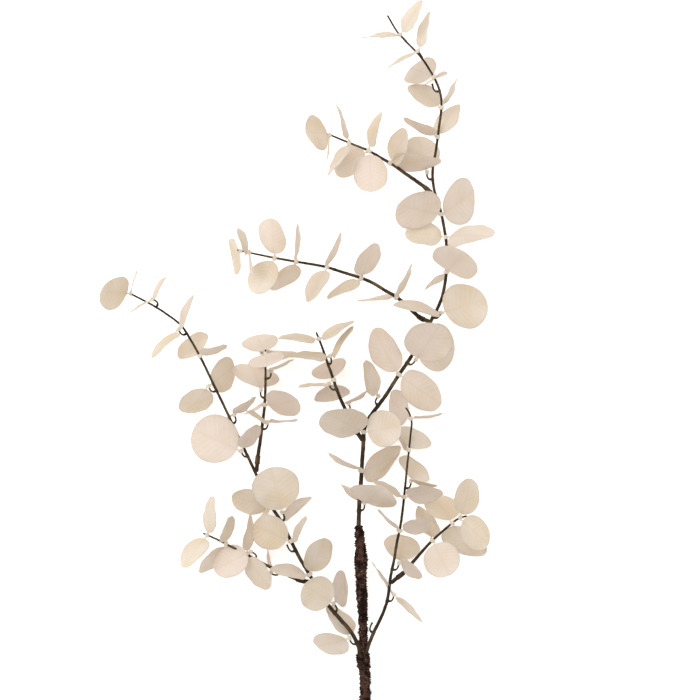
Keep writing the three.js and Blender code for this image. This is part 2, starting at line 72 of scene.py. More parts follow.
# Each stem: the axis that its stations are read along, its radius at the foot and at the tip, its route,
# and its rows of leaves from the foot up. "plugged" stems have a thick socket at the foot.
# A row: its station, the clock angle of its prong (0 is up, 90 is left, None is a row straight on the
# stem), its leaves, and "fused" where they belong to the stem's own node.
# A leaf: its heading from +X, its length and its width as seen from above, 1 or -1 for a tip that rises
# or sinks, 1 or -1 for the edge that is raised, and its size.
STEMS = {
    "leader": {
        "axis": "y", "radius": [2.6, 1.1],
        "route": [[-5, 152, 34], [-4, 181, 36], [-2, 206, 37], [0, 238, 38], [3, 267, 39], [16, 287, 40],
                  [25, 299, 41], [41, 324, 42], [54, 343, 43], [68, 367, 44], [79, 388, 44],
                  [90, 411, 44], [95, 434, 44], [97, 462, 44], [95, 483, 44], [89, 514, 44],
                  [82, 537, 44], [80, 557, 44], [84, 583, 44], [87, 606, 43], [90, 629, 42],
                  [90, 643, 41], [86, 658, 40], [80, 670, 40], [67, 690, 39], [49, 709, 38],
                  [40, 719, 37], [28, 739, 36]],
        "rows": [
            [168, -90, [[44, 27, 50, 1, 1, "L"], [139, 33, 9, -1, 1, "S"]]],
            [214, None, [[19, 48, 34, -1, 1, "L"], [153, 39, 7, 1, -1, "M"]]],
            [250, 0, [[153, 48, 40, 1, -1, "L"], [11, 42, 42, 1, -1, "M"]]],
            [289, 90, [[113, 41, 19, 1, 1, "M"]]],
            [325, None, [[121, 60, 33, 1, -1, "L"], [-37, 58, 38, 1, 1, "L"]]],
            [338, -90, [[55, 46, 53, 1, 1, "L"], [30, 52, 52, -1, 1, "L"]]],
            [391, -90, [[16, 51, 53, 1, 1, "L"], [170, 51, 13, 1, 1, "L"]]],
            [443, None, [[49, 26, 54, 1, 1, "L"], [224, 30, 9, -1, -1, "S"]]],
            [474, 0, [[172, 47, 28, -1, 1, "M"], [2, 51, 24, 1, -1, "L"]]],
            [509, None, [[171, 50, 45, 1, -1, "L"], [35, 50, 46, -1, 1, "L"]]],
            [549, 90, [[102, 44, 38, -1, 1, "M"]]],
            [598, None, [[62, 45, 22, -1, -1, "M"], [153, 42, 8, 1, -1, "M"]]],
            [632, None, [[140, 45, 26, -1, 1, "M"], [59, 37, 5, 1, 1, "S"]]],
            [651, 90, []],
            [667, None, [[150, 31, 40, -1, 1, "M"], [10, 5, 10, -1, 1, "S"]], "fused"],
            [689, -10, [[75, 46, 11, 1, -1, "M"], [210, 41, 6, 1, 1, "M"]]],
            [709, 0, [[57, 44, 17, 1, -1, "M"], [185, 44, 8, 1, 1, "M"]]],
        ],
    },
    "twig_a": {
        "axis": "x", "radius": [2.4, 1], "plugged": True,
        "route": [[80, 531.5, 46], [77, 534.5, 47], [71, 540, 48], [60, 548, 49], [48, 556, 50],
                  [37, 564, 50], [20, 574, 51], [6, 582, 52], [-6, 587, 52], [-16, 591, 52],
                  [-26, 595, 52], [-40, 601, 52]],
        "rows": [
            [31, None, [[62, 37, 24, 1, -1, "M"], [1, 56, 17, 1, 1, "L"]]],
            [15, 0, [[272, 47, 39, 1, 1, "M"]]],
            [6, None, [[74, 46, 12, 1, -1, "M"], [208, 45, 34, -1, 1, "M"]]],
            [-16, None, [[107, 45, 6, 1, 1, "M"], [237, 44, 11, 1, 1, "M"]]],
            [-38, None, [[178, 26, 40, 1, 1, "M"], [258, 23, 5, -1, 1, "S"]], "fused"],
        ],
    },
    "twig_b": {
        "axis": "x", "radius": [2.4, 1], "plugged": True,
        "route": [[73, 387, 44], [66, 390, 39], [54, 401, 33], [39, 414, 31], [25, 422, 31],
                  [12, 430, 32], [-2, 436, 33], [-21, 442, 33], [-44, 449, 34], [-72, 454, 35],
                  [-101, 459, 38], [-121, 463, 42], [-145, 468, 46]],
        "rows": [
            [39, None, [[64, 37, 6, 1, 1, "M"], [182, 45, 6, -1, 1, "M"]]],
            [-2, None, [[70, 40, 24, 1, 1, "M"], [211, 44, 13, 1, 1, "M"]]],
            [-33, 0, [[66, 38, 6, 1, 1, "M"], [240, 45, 19, 1, 1, "M"]]],
            [-77, None, [[85, 42, 4, 1, 1, "M"], [236, 41, 22, -1, -1, "M"]]],
            [-102, None, [[94, 44, 31, 1, -1, "M"], [241, 46, 32, 1, 1, "M"]]],
            [-131, None, [[117, 24, 10, 1, 1, "S"], [281, 18, 5, 1, 1, "S"]], "fused"],
            [-141, None, [[216, 16, 38, -1, 1, "M"]]],
        ],
    },
    "twig_c": {
        "axis": "y", "radius": [2.4, 1.2], "plugged": True,
        "route": [[-4, 254, 40], [-8, 260, 41], [-15, 273, 43], [-21, 286, 45], [-28, 302, 47],
                  [-34, 319, 49], [-41, 339, 50], [-48, 359, 51], [-54, 374, 52]],
        "rows": [
            [281, -90, [[34, 20, 5, 1, 1, "S"]]],
            [308, 90, [[184, 33, 4, 1, 1, "S"], [283, 23, 42, -1, -1, "M"]]],
            [319, None, [[112, 24, 42, -1, -1, "M"]]],
            [336, -60, [[51, 39, 9, 1, -1, "M"], [179, 45, 10, 1, 1, "M"]]],
            [366, None, [[178, 45, 10, 1, 1, "M"], [27, 43, 10, 1, -1, "M"]]],
        ],
    },
    "limb_d": {
        "axis": "y", "radius": [2.4, 1.1],
        "route": [[-4, 4, 37], [-5, 11, 37], [-9.5, 21, 37], [-16, 31, 36], [-26.5, 43, 35],
                  [-38.5, 57, 35], [-49, 73, 35], [-56.5, 85, 35], [-63.5, 97, 35], [-75, 117, 36],
                  [-84, 135, 37], [-94, 155, 38], [-106, 174, 39], [-123, 210, 41], [-136, 238, 44],
                  [-147, 261, 46], [-157, 283, 48], [-173, 316, 48], [-186, 343, 47], [-199, 366, 45],
                  [-209, 381, 43], [-227, 395, 41], [-243, 405, 40], [-268, 418, 39]],
        "rows": [
            [15, 90, [[117, 42, 23, -1, 1, "M"], [200, 40, 33, -1, -1, "M"]]],
            [50, -90, [[145, 40, 42, 1, 1, "M"], [60, 32, 28, -1, 1, "M"]]],
            [94, None, [[66, 46, 30, 1, 1, "M"], [169, 44, 12, 1, 1, "M"]]],
            [122, 90, []],
            [133, None, [[157, 47, 40, 1, -1, "M"], [57, 31, 9, 1, -1, "S"]]],
            [155, -90, [[103, 53, 55, 1, 1, "L"], [14, 30, 22, -1, 1, "M"]]],
            [173, None, [[168, 47, 30, -1, -1, "M"], [215, 14, 14, -1, 1, "S"]]],
            [231, 45, [[155, 60, 56, 1, 1, "L"], [58, 35, 18, 1, 1, "S"]]],
            [268, -90, [[204, 25, 4, -1, 1, "S"], [40, 30, 9, 1, 1, "S"]], "fused"],
            [306, 90, [[38, 38, 33, -1, 1, "M"], [230, 42, 30, -1, -1, "M"]]],
            [346, None, [[128, 27, 42, -1, -1, "M"], [23, 31, 10, 1, 1, "S"]]],
            [372, 90, [[66, 40, 10, 1, -1, "M"], [227, 40, 12, 1, 1, "M"]]],
            [402, -90, [[57, 25, 7, 1, -1, "S"], [212, 22, 4, 1, 1, "S"]], "fused"],
            [418, None, [[178, 29, 38, 1, -1, "M"], [70, 22, 4, 1, -1, "S"]], "fused"],
        ],
    },
    "twig_d1": {
        "axis": "x", "radius": [2.3, 1], "plugged": True,
        "route": [[-64, 86, 33], [-73, 87.5, 33], [-93, 96, 32], [-114, 106, 31], [-134, 117, 30],
                  [-154, 127, 30], [-171, 135.5, 29], [-185, 141.5, 29]],
        "rows": [
            [-96, 90, [[95, 27, 4, -1, 1, "S"]]],
            [-124, -60, [[206, 47, 34, 1, 1, "M"]]],
            [-134, None, [[83, 47, 10, 1, 1, "M"], [303, 46, 26, 1, 1, "M"]]],
            [-158, None, [[82, 31, 14, 1, 1, "S"], [233, 45, 20, -1, -1, "M"]]],
            [-180, None, [[80, 44, 17, 1, -1, "M"], [233, 44, 22, 1, 1, "M"]]],
        ],
    },
    "twig_d2": {
        "axis": "y", "radius": [2.3, 1], "plugged": True,
        "route": [[-122, 219, 42], [-121, 229, 44], [-118, 250, 46], [-115, 273, 47], [-113, 290, 48],
                  [-112, 319, 50], [-112, 354, 52]],
        "rows": [
            [262, -90, [[4, 32, 4, 1, 1, "S"], [150, 21, 4, 1, 1, "S"]], "fused"],
            [290, None, [[7, 38, 32, 1, 1, "M"], [197, 22, 9, -1, 1, "S"]]],
            [298, 60, [[112, 33, 46, -1, 1, "L"]]],
            [320, -90, [[27, 24, 4, 1, 1, "S"]]],
            [334, 90, [[16, 38, 16, -1, -1, "M"]]],
            [349, None, [[118, 26, 40, -1, 1, "M"], [285, 13, 42, 1, 1, "M"]], "fused"],
        ],
    },
    "limb_e": {
        "axis": "y", "radius": [2.1, 1],
        "route": [[4, 5, 37], [7, 14, 37], [13, 29, 38], [20.5, 44, 38], [27, 61, 38], [30, 77, 38],
                  [32, 93, 38], [36, 112, 39], [39, 131, 40], [43, 150, 42], [46, 172, 44], [48, 192, 44],
                  [51, 221, 44], [53, 239, 44], [55, 258, 43], [56, 270, 42], [53, 281, 41],
                  [49, 287, 40]],
        "rows": [
            [27, 90, []],
            [64, -90, [[127, 43, 5, -1, -1, "M"], [319, 45, 5, 1, -1, "M"]], "fused"],
            [100, -90, [[78, 32, 43, -1, 1, "M"], [338, 25, 18, 1, 1, "S"]]],
            [145, None, [[135, 33, 5, 1, -1, "S"], [17, 37, 19, 1, 1, "S"]], "fused"],
            [184, None, [[150, 44, 6, 1, 1, "M"], [10, 42, 22, 1, 1, "M"]]],
            [194, -90, [[72, 24, 40, -1, 1, "M"], [-10, 24, 6, 1, 1, "S"]]],
            [238, None, [[66, 26, 42, -1, 1, "M"], [135, 26, 6, -1, -1, "S"]]],
            [274, None, [[138, 34, 32, -1, -1, "M"], [8, 35, 4, 1, 1, "S"]], "fused"],
        ],
    },
    "twig_e1": {
        "axis": "x", "radius": [2.3, 1], "plugged": True,
        "route": [[37, 88.5, 38], [40, 91, 38], [47, 96.5, 37], [61, 112.5, 36], [76, 129.5, 36],
                  [94, 146, 36], [109, 158, 36], [120, 162, 36]],
        "rows": [
            [80, None, [[105, 39, 23, -1, 1, "M"], [296, 42, 42, 1, 1, "M"]]],
            [96, 0, [[124, 39, 33, -1, 1, "M"], [302, 50, 40, -1, 1, "L"]]],
            [112, None, [[73, 47, 30, 1, 1, "M"], [316, 42, 34, 1, 1, "M"]]],
        ],
    },
}

UP = np.array([0.0, 0.0, 1.0])
CREAM = (0.0, 0.0, -1.0)   # the tint of rings and petioles: pink, ochre, and dark or, below 0, cream
SEED = 20
chance = np.random.default_rng(SEED)


# ---------------------------------------------------------------- small helpers
def unit(vectors):
    """Vectors divided by their own lengths."""
    return vectors / np.linalg.norm(vectors, axis=-1, keepdims=True)


def mix(a, b, t):
    """The value a share t of the way from a to b."""
    return a + (b - a) * t


def smoothstep(low, high, x):
    """0 below low, 1 above high, and 3t^2 - 2t^3 between."""
    t = np.clip((x - low) / (high - low), 0.0, 1.0)
    return t * t * (3.0 - 2.0 * t)


def lumps(points, size, seed, octaves=3):
    """Smooth noise, about -1 to 1: sines along random directions, each octave half as long and high."""
    rng = np.random.default_rng(seed)
    total = np.zeros(points.shape[:-1])
    for octave in range(octaves):
        directions = unit(rng.normal(size=(7, 3))) * 2.0 * math.pi / size * 2.0 ** octave
        phases = rng.uniform(0.0, 2.0 * math.pi, 7)
        total += np.sin(points @ directions.T + phases).mean(axis=-1) * 2.0 * 0.5 ** octave
    return total


# ---------------------------------------------------------------- lines
class Line:
    """A smooth line of points with the distance run at each."""

    def __init__(self, points):
        self.points = np.asarray(points, dtype=float)
        steps = np.linalg.norm(np.diff(self.points, axis=0), axis=1)
        self.run = np.concatenate([[0.0], np.cumsum(steps)])
        self.length = self.run[-1]

    def at(self, distance):
        """The points at distances along the line."""
        return np.stack([np.interp(distance, self.run, self.points[:, k]) for k in range(3)], axis=-1)

    def heading(self, distance):
        """The unit tangents at distances along the line."""
        step = 0.5
        ahead = self.at(np.minimum(distance + step, self.length))
        behind = self.at(np.maximum(distance - step, 0.0))
        return unit(ahead - behind)


def smooth_line(route, steps=16):
    """A centripetal Catmull-Rom curve through the route: on each span the cubic Hermite blend of its ends
    and of tangents weighted by the square roots of the three gaps around it."""
    route = np.array(route, dtype=float)
    p = np.vstack([2.0 * route[0] - route[1], route, 2.0 * route[-1] - route[-2]])
    gaps = np.sqrt(np.linalg.norm(np.diff(p, axis=0), axis=1))[:, None]
    a, b, c, d = p[:-3], p[1:-2], p[2:-1], p[3:]
    before, here, after = gaps[:-2], gaps[1:-1], gaps[2:]
    leave = ((b - a) / before - (c - a) / (before + here) + (c - b) / here) * here
    arrive = ((c - b) / here - (d - b) / (here + after) + (d - c) / after) * here
    t = np.linspace(0.0, 1.0, steps, endpoint=False)[:, None, None]
    t2 = t * t
    t3 = t2 * t
    curve = (2 * t3 - 3 * t2 + 1) * b + (t3 - 2 * t2 + t) * leave + (3 * t2 - 2 * t3) * c + (t3 - t2) * arrive
    return Line(np.vstack([curve.transpose(1, 0, 2).reshape(-1, 3), route[-1]]))


# ---------------------------------------------------------------- skins
class Skin:
    """Vertices, faces, corner UVs and a tint per vertex, gathered from several closed surfaces."""

    def __init__(self):
        self.points = []
        self.quads = []
        self.triangles = []
        self.quad_uvs = []
        self.triangle_uvs = []
        self.tints = []
        self.count = 0

    def add(self, sections, u, v, tint=(0.0, 0.0, 0.0)):
        """A closed surface through rings of points. The rings run round their own direction of travel by
        the right hand, and each end is closed by a fan to the middle of its ring. u runs along the rings
        and v, one longer than a ring, round them."""
        n, m = sections.shape[:2]
        i, j = [g.ravel() for g in np.mgrid[0:n - 1, 0:m]]
        k = (j + 1) % m
        base = self.count
        quads = np.stack([i * m + j, i * m + k, (i + 1) * m + k, (i + 1) * m + j], axis=1)
        self.quads.append(quads + base)
        self.quad_uvs.append(np.stack([
            np.stack([u[i], v[j]], 1), np.stack([u[i], v[j + 1]], 1),
            np.stack([u[i + 1], v[j + 1]], 1), np.stack([u[i + 1], v[j]], 1)], axis=1))
        j = np.arange(m)
        k = (j + 1) % m
        tail = np.full(m, n * m)
        nose = tail + 1
        last = (n - 1) * m
        self.triangles.append(np.stack([tail, k, j], 1) + base)
        self.triangles.append(np.stack([nose, last + j, last + k], 1) + base)
        middle = 0.5 * (v[:-1] + v[1:])
        for end, (first, second) in ((u[0], (v[1:], v[:-1])), (u[-1], (v[:-1], v[1:]))):
            along = np.full(m, end)
            self.triangle_uvs.append(np.stack([
                np.stack([along, middle], 1), np.stack([along, first], 1), np.stack([along, second], 1)], 1))
        self.points.append(np.vstack([sections.reshape(-1, 3), sections[0].mean(0), sections[-1].mean(0)]))
        self.count += n * m + 2
        self.tints.append(np.tile(np.asarray(tint, float), (n * m + 2, 1)))

    def add_loop(self, sections, tint):
        """A closed surface through rings of points that meet end to end, as a collar's do."""
        n, m = sections.shape[:2]
        i, j = [g.ravel() for g in np.mgrid[0:n, 0:m]]
        ahead = (i + 1) % n
        k = (j + 1) % m
        faces = np.stack([ahead * m + j, ahead * m + k, i * m + k, i * m + j], 1)
        self.points.append(sections.reshape(-1, 3))
        self.quads.append(faces + self.count)
        self.quad_uvs.append(np.zeros((len(faces), 4, 2)))
        self.tints.append(np.tile(tint, (n * m, 1)))
        self.count += n * m

    def all_points(self):
        """Every vertex so far, in the drawing's millimetres."""
        return np.vstack(self.points)


def tube(line_points, radius, hint, sides):
    """Rings round a line: centre + radius (cos a across + sin a over), across being the hint made square to
    the line. There is one radius for each point."""
    tangents = unit(np.gradient(line_points, axis=0))
    across = unit(hint - tangents * (tangents @ hint)[:, None])
    over = np.cross(tangents, across)
    angle = np.linspace(0.0, 2.0 * math.pi, sides, endpoint=False)[None, :, None]
    return line_points[:, None] + radius[:, None, None] * (
        np.cos(angle) * across[:, None] + np.sin(angle) * over[:, None])


def round_ends(run, length, radius, reach):
    """A radius that closes like a quarter circle over the last reach of both ends."""
    ends = np.minimum(run, length - run)
    t = np.clip(ends / reach, 0.0, 1.0)
    return radius * np.sqrt(np.maximum(1.0 - (1.0 - t) ** 2, 0.02))


# ---------------------------------------------------------------- the branch's parts
def place(stem, station):
    """Where a stem reaches a station on its axis: point, direction, its own left and up, and radius."""
    line = stem["line"]
    run = np.linspace(0.0, line.length, 1600)
    distance = run[np.argmin(np.abs(line.at(run)[:, "xyz".index(stem["axis"])] - station))]
    along = line.heading(distance)
    left = unit(np.cross(UP, along))
    return {"point": line.at(distance), "along": along, "left": left, "up": np.cross(along, left),
            "radius": mix(*stem["radius"], distance / line.length), "distance": distance}


def prong(skin, spot, clock):
    """A hooked prong that leaves the stem at its clock angle and bends to run with it. Its radius swells at
    the root and at the knob on its end. Gives back the seat of the ring that hangs on it."""
    turn = math.radians(clock)
    out = spot["up"] * math.cos(turn) + spot["left"] * math.sin(turn)
    legs = [(0.0, 0.0), (PRONG_OUT * 0.75, 1.0), (PRONG_OUT, 4.0), (PRONG_OUT, PRONG_ALONG)]
    line = smooth_line([spot["point"] + out * away + spot["along"] * ahead for away, ahead in legs])
    run = np.linspace(0.0, line.length, 30)
    t = run / line.length
    thick = 1.0 + 0.5 * np.exp(-((run - 2.5) / 1.6) ** 2) + 0.35 * np.exp(-((t - 0.93) / 0.05) ** 2)
    radius = PRONG_RADIUS * thick
    radius = np.where(t > 0.9, round_ends(run, line.length, radius, 1.2), radius)
    skin.add(tube(line.at(run), radius, np.cross(out, spot["along"]), 12), run, np.linspace(0, 1, 13))
    return dict(spot, point=spot["point"] + out * PRONG_OUT + spot["along"] * PRONG_RING_AT,
                radius=PRONG_RADIUS)


def ring(skin, seat):
    """The small collar that is threaded on a stem: a rounded rectangle carried round the stem's axis,
    radius r0 + wall sin^0.6 and height cos^0.6 of the angle round the rectangle."""
    sides = 24
    corners = 12
    turn = np.linspace(0.0, 2.0 * math.pi, corners, endpoint=False)
    inner = seat["radius"] + 0.2
    out = np.sign(np.sin(turn)) * np.abs(np.sin(turn)) ** 0.6
    rise = np.sign(np.cos(turn)) * np.abs(np.cos(turn)) ** 0.6
    reach = inner + RING_WALL * 0.5 * (1.0 + out)
    height = 0.5 * RING_HEIGHT * rise
    angle = np.linspace(0.0, 2.0 * math.pi, sides, endpoint=False)
    spoke = np.cos(angle)[:, None] * seat["left"] + np.sin(angle)[:, None] * seat["up"]
    grid = (seat["point"] + spoke[:, None] * reach[None, :, None]
            + height[None, :, None] * seat["along"])
    skin.add_loop(grid, CREAM)


def sway(u, turns):
    """A sine along the blade, of a chance number of radians within turns and a chance start."""
    return np.sin(u * chance.uniform(*turns) + chance.uniform(0.0, 6.0))


def blade_sheet(base, length, width, openness, midrib, axes_at):
    """The middle surface of a blade and its unit normals, with u along it and s across, from edge to edge.

    The half width is (width / 2) (4w(1 - w))^0.46 with w a power of u, made a little uneven. The surface
    is the spine, which droops with u^2, plus s half widths across, plus along its normal: a cup and a wave
    that grow with s^2, a ripple that grows with s^4, and low ribs at the midrib and the side veins. It is
    kept RESTING over the ground."""
    stations = 40
    columns = 14
    u = 0.5 - 0.5 * np.cos(np.linspace(0.0, math.pi, stations)) * 0.998
    w = u ** chance.uniform(0.98, 1.12)
    outline = np.sqrt(np.maximum(4.0 * w * (1.0 - w), 0.0)) ** 0.92
    half = 0.5 * width * outline * (1.0 + EDGE_WOBBLE * sway(u, (5.0, 9.0))) + 0.25
    s = np.cos(np.linspace(0.0, math.pi, columns + 1))
    wave = chance.uniform(0.5, 1.1) * sway(u, (4.0, 7.0))
    ripple = chance.uniform(0.2, 0.5) * sway(u, (12.0, 20.0))
    uu = u[:, None]
    ss = s[None, :]
    reach_across = ss * half[:, None]
    rib = RIB_HEIGHT * np.exp(-(reach_across / RIB_WIDTH) ** 2) * (1.0 - 0.7 * uu)
    side_phase = 2.0 * math.pi * (uu * SIDE_VEINS - np.abs(ss) * VEIN_SWEEP)
    veins = (VEIN_HEIGHT * np.maximum(np.cos(side_phase), 0.0) ** 4 * (1.0 - ss ** 4)
             * smoothstep(0.02, 0.2, np.abs(ss)))
    lift = (CUP * openness * half + wave)[:, None] * ss ** 2 + ripple[:, None] * ss ** 4
    across, normal = axes_at(u)
    middle = axes_at(np.array([0.5]))[1][0]
    spine = base + midrib * (u * length)[:, None] - middle * (DROOP * length * u ** 2)[:, None]
    sheet = (spine[:, None] + across[:, None] * reach_across[..., None]
             + normal[:, None] * (lift + rib + veins)[..., None])
    sheet[..., 2] = np.maximum(sheet[..., 2], RESTING)
    out = unit(np.cross(np.gradient(sheet, axis=1), np.gradient(sheet, axis=0)) + 1e-9 * normal[:, None])
    return u, s, sheet, out


def petiole(skin, start, away, base, midrib, foot):
    """The thin stalk from the ring, out and round into the blade's foot, tapering all the way."""
    across, normal = foot[0][0], foot[1][0]
    stalk = smooth_line([start, start + away * 1.4, base - midrib * 0.8 - normal * 0.1,
                         base + midrib * 3.0, base + midrib * 8.0 - normal * 0.4], 8)
    run = np.linspace(0.0, stalk.length, 26)
    radius = mix(1.15, 0.32, (run / stalk.length) ** 0.7)
    skin.add(tube(stalk.at(run), radius, across, 10), np.full(26, 0.02), np.full(11, 0.5), CREAM)


def leaf(skin, seat, spec, tint):
    """One leaf on its petiole. How long it looks gives its rise, and how wide gives its roll about its
    midrib. Its middle surface is then given its thickness along its normals, thinning to the edges."""
    heading, reach, breadth, side, lean, size = spec
    length, width = LEAF_SIZES[size]
    rise = side * math.acos(min(reach / length, 1.0))
    openness = min(breadth / width, 1.0)
    turn = math.radians(heading)
    ahead = np.array([math.cos(turn), math.sin(turn), 0.0])
    flank = np.array([-ahead[1], ahead[0], 0.0])
    midrib = ahead * math.cos(rise) + UP * math.sin(rise)
    crown = np.cross(midrib, flank)

    def axes_at(along):
        """Across and normal at shares of the blade: a tilted blade is more edge on towards its tip."""
        shown = openness * (1.0 + TWIST * (1.0 - openness) ** 2 * (1.0 - 2.0 * along))
        roll = lean * np.arccos(np.minimum(shown, 1.0))
        across = flank * np.cos(roll)[..., None] + crown * np.sin(roll)[..., None]
        return across, np.cross(midrib, across)

    base = seat["point"] + midrib * PETIOLE_LENGTH + UP * side * PETIOLE_LIFT
    u, s, sheet, out = blade_sheet(base, length - PETIOLE_LENGTH, width, openness, midrib, axes_at)
    thick = 0.5 * BLADE_THICKNESS * np.maximum(1.0 - s ** 2, 0.0)[None, :, None] ** 0.25
    blade = np.concatenate([sheet + out * thick, (sheet - out * thick)[:, -2:0:-1]], axis=1)
    there_and_back = np.concatenate([s, s[-2:0:-1]])
    skin.add(blade, u, np.append(0.5 + 0.5 * there_and_back, 1.0), tint)

    away = unit(ahead - seat["along"] * ahead.dot(seat["along"]) + seat["up"] * PETIOLE_SLANT * side)
    start = seat["point"] + away * (seat["radius"] + 0.3 + RING_WALL * 0.4)
    petiole(skin, start, away, base, midrib, axes_at(np.array([0.0])))


def sink(line):
    """The line carried straight back by SUNK from its start."""
    back = line.points[0] - SUNK * unit(line.points[1] - line.points[0])
    return Line(np.vstack([back, line.points]))


def stem_tube(skin, stem, stations):
    """The stem itself: a tapering bar, a little swollen at each row of leaves, with a shallow knobbly grain
    along it and rounded ends."""
    line = stem["foot"]
    run = np.linspace(0.0, line.length, max(int(line.length / 1.1), 30))
    radius = mix(*stem["radius"], np.maximum(run - SUNK, 0.0) / (line.length - SUNK))
    for distance in stations:
        radius = radius * (1.0 + 0.16 * np.exp(-((run - SUNK - distance) / 1.7) ** 2))
    radius = round_ends(run, line.length, radius, 1.2)
    sides = 14
    rings = tube(line.at(run), radius, UP, sides)
    centre = line.at(run)[:, None]
    grain = lumps(rings, 7.0, 3) * 0.055 + lumps(rings, 1.9, 4, 2) * 0.035
    skin.add(centre + (rings - centre) * (1.0 + grain[..., None]), run, np.linspace(0.0, 1.0, sides + 1))


def socket(skin, stem):
    """The thick foot of a plugged twig: a sleeve with five shallow ribs and rounded shoulders."""
    line = stem["line"]
    run = np.linspace(SOCKET_FROM, SOCKET_FROM + SOCKET_LENGTH, 48)
    t = (run - SOCKET_FROM) / SOCKET_LENGTH
    radius = SOCKET_RADIUS * (1.0 + 0.07 * np.cos(t * 5.0 * 2.0 * math.pi)) * mix(1.04, 0.92, t)
    radius = round_ends(run - SOCKET_FROM, SOCKET_LENGTH, radius, 1.5)
    skin.add(tube(line.at(run), radius, UP, 20), run, np.linspace(0.0, 1.0, 21))


def sleeve(skin, points, profile, seed):
    """Bark-wrapped stem: a bar that follows its profile of radii, covered in coarse lumps and sharp
    crumbs. The crumbs are the positive part of a fine sum of waves."""
    line = smooth_line(points)
    run = np.linspace(0.0, line.length, int(line.length / 0.45))
    radius = np.interp(run / line.length, *np.transpose(profile))
    sides = 72
    rings = tube(line.at(run), radius, UP, sides)
    centre = line.at(run)[:, None]
    rough = (lumps(rings, 9.0, seed) * 0.6 + np.abs(lumps(rings, 3.4, seed + 1)) * 1.3
             + np.maximum(lumps(rings, 1.7, seed + 2, 2), 0.0) * 1.1 - 0.9)
    ends = round_ends(run, line.length, 1.0, 1.5)[:, None]
    outward = unit(rings - centre)
    skin.add(centre + (rings - centre + outward * rough[..., None]) * ends[..., None], run,
             np.linspace(0.0, 1.0, sides + 1))


# ---------------------------------------------------------------- materials
class Shader:
    """A node tree's sockets as numbers that can be added, multiplied and so on."""

    def __init__(self, tree, socket):
        self.tree = tree
        self.socket = socket

    def math(self, operation, *others):
        """One Math node on this value and the others."""
        node = self.tree.nodes.new("ShaderNodeMath")
        node.operation = operation
        for slot, value in zip(node.inputs, (self, *others)):
            feed(self.tree, slot, value)
        return Shader(self.tree, node.outputs[0])

    def __add__(self, other):
        return self.math("ADD", other)

    __radd__ = __add__

    def __mul__(self, other):
        return self.math("MULTIPLY", other)

    __rmul__ = __mul__

    def __sub__(self, other):
        return self.math("SUBTRACT", other)

    def __rsub__(self, other):
        return (self * -1.0) + other

    def between(self, low, high):
        """0 below low, 1 above high, smooth between."""
        return node(self.tree, "ShaderNodeMapRange", {"interpolation_type": "SMOOTHSTEP"},
                    {"Value": self, "From Min": low, "From Max": high})


def feed(tree, slot, value):
    """Links or sets one input."""
    if isinstance(value, Shader):
        tree.links.new(value.socket, slot)
    else:
        slot.default_value = value


def node(tree, kind, settings=None, inputs=None, output=0):
    """Adds a node: its settings first, then the values or links of its inputs. Gives one output."""
    made = tree.nodes.new(kind)
    for key, value in (settings or {}).items():
        setattr(made, key, value)
    for key, value in (inputs or {}).items():
        feed(tree, made.inputs[key], value)
    return Shader(tree, made.outputs[output])


def blend(tree, a, b, share):
    """Colour a mixed towards colour b by a share."""
    made = tree.nodes.new("ShaderNodeMix")
    made.data_type = "RGBA"
    feed(tree, made.inputs[0], share)
    for slot, value in ((made.inputs[6], a), (made.inputs[7], b)):
        feed(tree, slot, value if isinstance(value, Shader) else (*value, 1.0))
    return Shader(tree, made.outputs[2])


def noise(tree, where, scale, detail=3.0, rough=0.5, seed=0.0):
    """Fractal noise, 0 to 1, in a 3-D space that the seed shifts."""
    return node(tree, "ShaderNodeTexNoise", {"noise_dimensions": "4D"},
                {"Vector": where, "Scale": scale, "Detail": detail, "Roughness": rough, "W": seed})


def new_material(name):
    """A material with nodes: itself, its tree and its main shader."""
    material = bpy.data.materials.new(name)
    material.use_nodes = True
    tree = material.node_tree
    return material, tree, tree.nodes["Principled BSDF"]


def object_space(tree):
    """Object coordinates, the fourth output of Texture Coordinate."""
    return node(tree, "ShaderNodeTexCoord", output=3)


def bump(tree, height, distance, strength):
    """A normal pushed about by a height."""
    return node(tree, "ShaderNodeBump", None, {"Height": height, "Distance": distance, "Strength": strength})


